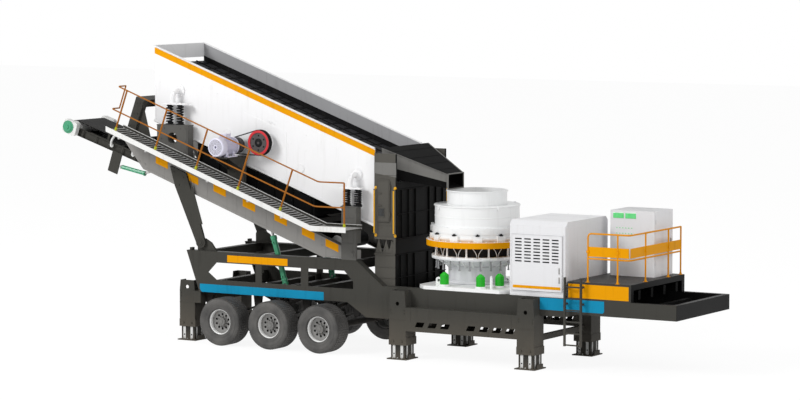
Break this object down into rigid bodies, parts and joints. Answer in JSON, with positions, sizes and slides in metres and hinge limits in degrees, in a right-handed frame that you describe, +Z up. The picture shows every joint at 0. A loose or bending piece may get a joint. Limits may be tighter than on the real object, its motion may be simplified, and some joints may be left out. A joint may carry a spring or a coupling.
{
  "type": "mobile cone crushing and screening plant",
  "caption": "Trailer-mounted cone crushing plant with a sloping screen, discharge conveyor, walkways, cabinets and outrigger legs.",
  "frame": {"origin": "centre of the bounding box on the ground under the plant", "axes": "+X along the trailer towards its coupling, +Y to the far side, +Z up"},
  "size_m": [16.4182, 4.05, 6.79],
  "materials": {
    "belt_rubber": "matte",
    "dark_steel": "painted",
    "green_steel": "painted",
    "grey_steel": "painted",
    "orange_steel": "painted",
    "rail_steel": "painted",
    "red_steel": "painted",
    "tyre_rubber": "matte",
    "white_steel": "painted"
  },
  "bodies": {
    "plant": {"side_girder_near": "dark_steel", "side_girder_far": "dark_steel", "cross_members": "dark_steel", "crusher_subframe": "dark_steel", "outrigger_sleeves": "dark_steel", "axles": "dark_steel", "gooseneck": "dark_steel", "platform": "dark_steel", "ladder": "rail_steel", "generator_cabinet": "white_steel", "control_cabinet": "white_steel", "crusher_base": "white_steel", "crusher_frame": "white_steel", "crusher_ring": "orange_steel", "crusher_bowl": "white_steel", "crusher_hopper": "white_steel", "crusher_hydraulics": "green_steel", "chute_housing": "dark_steel", "chute_hood": "dark_steel", "screen_sides": "white_steel", "screen_decks": "grey_steel", "screen_cross_tubes": "grey_steel", "drive_belt": "belt_rubber", "screen_motor": "white_steel", "motor_stand": "dark_steel", "screen_springs": "grey_steel", "spring_stands": "grey_steel", "inclined_frame": "grey_steel", "frame_crossbars": "grey_steel", "support_struts": "grey_steel", "lift_cylinders": "green_steel", "fines_hopper": "grey_steel", "conveyor_frame": "dark_steel", "conveyor_drums": "dark_steel", "conveyor_belt": "belt_rubber", "walkways": "grey_steel", "railings": "rail_steel"},
    "wheel_1_near": {"tyre_1_near": "tyre_rubber", "rim_1_near": "white_steel"},
    "wheel_1_far": {"tyre_1_far": "tyre_rubber", "rim_1_far": "white_steel"},
    "wheel_2_near": {"tyre_2_near": "tyre_rubber", "rim_2_near": "white_steel"},
    "wheel_2_far": {"tyre_2_far": "tyre_rubber", "rim_2_far": "white_steel"},
    "wheel_3_near": {"tyre_3_near": "tyre_rubber", "rim_3_near": "white_steel"},
    "wheel_3_far": {"tyre_3_far": "tyre_rubber", "rim_3_far": "white_steel"},
    "leg_rear_near": {"leg_rear_near": "dark_steel"},
    "leg_rear_far": {"leg_rear_far": "dark_steel"},
    "leg_middle_near": {"leg_middle_near": "dark_steel"},
    "leg_middle_far": {"leg_middle_far": "dark_steel"},
    "leg_front_near": {"leg_front_near": "dark_steel"},
    "leg_front_far": {"leg_front_far": "dark_steel"},
    "exciter": {"exciter_pulley": "red_steel"},
    "motor_rotor": {"motor_pulley": "red_steel"},
    "generator_door": {"generator_door": "white_steel"},
    "chute_door": {"chute_door": "dark_steel"}
  },
  "joints": [
    {"name": "wheel_1_near_spin", "type": "hinge", "parent": "plant", "child": "wheel_1_near", "pos_m": [-3.097, -1.44, 0.55], "axis": [0, 1, 0], "continuous": true},
    {"name": "wheel_1_far_spin", "type": "hinge", "parent": "plant", "child": "wheel_1_far", "pos_m": [-3.097, 1.44, 0.55], "axis": [0, 1, 0], "continuous": true},
    {"name": "wheel_2_near_spin", "type": "hinge", "parent": "plant", "child": "wheel_2_near", "pos_m": [-1.772, -1.44, 0.55], "axis": [0, 1, 0], "continuous": true},
    {"name": "wheel_2_far_spin", "type": "hinge", "parent": "plant", "child": "wheel_2_far", "pos_m": [-1.772, 1.44, 0.55], "axis": [0, 1, 0], "continuous": true},
    {"name": "wheel_3_near_spin", "type": "hinge", "parent": "plant", "child": "wheel_3_near", "pos_m": [-0.447, -1.44, 0.55], "axis": [0, 1, 0], "continuous": true},
    {"name": "wheel_3_far_spin", "type": "hinge", "parent": "plant", "child": "wheel_3_far", "pos_m": [-0.447, 1.44, 0.55], "axis": [0, 1, 0], "continuous": true},
    {"name": "leg_rear_near_slide", "type": "slide", "parent": "plant", "child": "leg_rear_near", "axis": [0, 0, 1], "range_m": [-0.25, 0.25]},
    {"name": "leg_rear_far_slide", "type": "slide", "parent": "plant", "child": "leg_rear_far", "axis": [0, 0, 1], "range_m": [-0.25, 0.25]},
    {"name": "leg_middle_near_slide", "type": "slide", "parent": "plant", "child": "leg_middle_near", "axis": [0, 0, 1], "range_m": [-0.25, 0.25]},
    {"name": "leg_middle_far_slide", "type": "slide", "parent": "plant", "child": "leg_middle_far", "axis": [0, 0, 1], "range_m": [-0.25, 0.25]},
    {"name": "leg_front_near_slide", "type": "slide", "parent": "plant", "child": "leg_front_near", "axis": [0, 0, 1], "range_m": [-0.25, 0.25]},
    {"name": "leg_front_far_slide", "type": "slide", "parent": "plant", "child": "leg_front_far", "axis": [0, 0, 1], "range_m": [-0.25, 0.25]},
    {"name": "exciter_spin", "type": "hinge", "parent": "plant", "child": "exciter", "pos_m": [-2.28, -1.2, 4.64], "axis": [0, 1, 0], "continuous": true},
    {"name": "motor_spin", "type": "hinge", "parent": "plant", "child": "motor_rotor", "pos_m": [-2.92, -1.2, 4.56], "axis": [0, 1, 0], "continuous": true},
    {"name": "generator_door_swing", "type": "hinge", "parent": "plant", "child": "generator_door", "pos_m": [4.281, -1.3, 2.295], "axis": [0, 0, -1], "range_deg": [0, 110]},
    {"name": "chute_door_swing", "type": "hinge", "parent": "plant", "child": "chute_door", "pos_m": [1.109, -1.115, 3.455], "axis": [0, 0, 1], "range_deg": [0, 90]}
  ],
  "couplings": [
    {"joint": "motor_spin", "follows": "exciter_spin", "ratio": 1.5722}
  ]
}
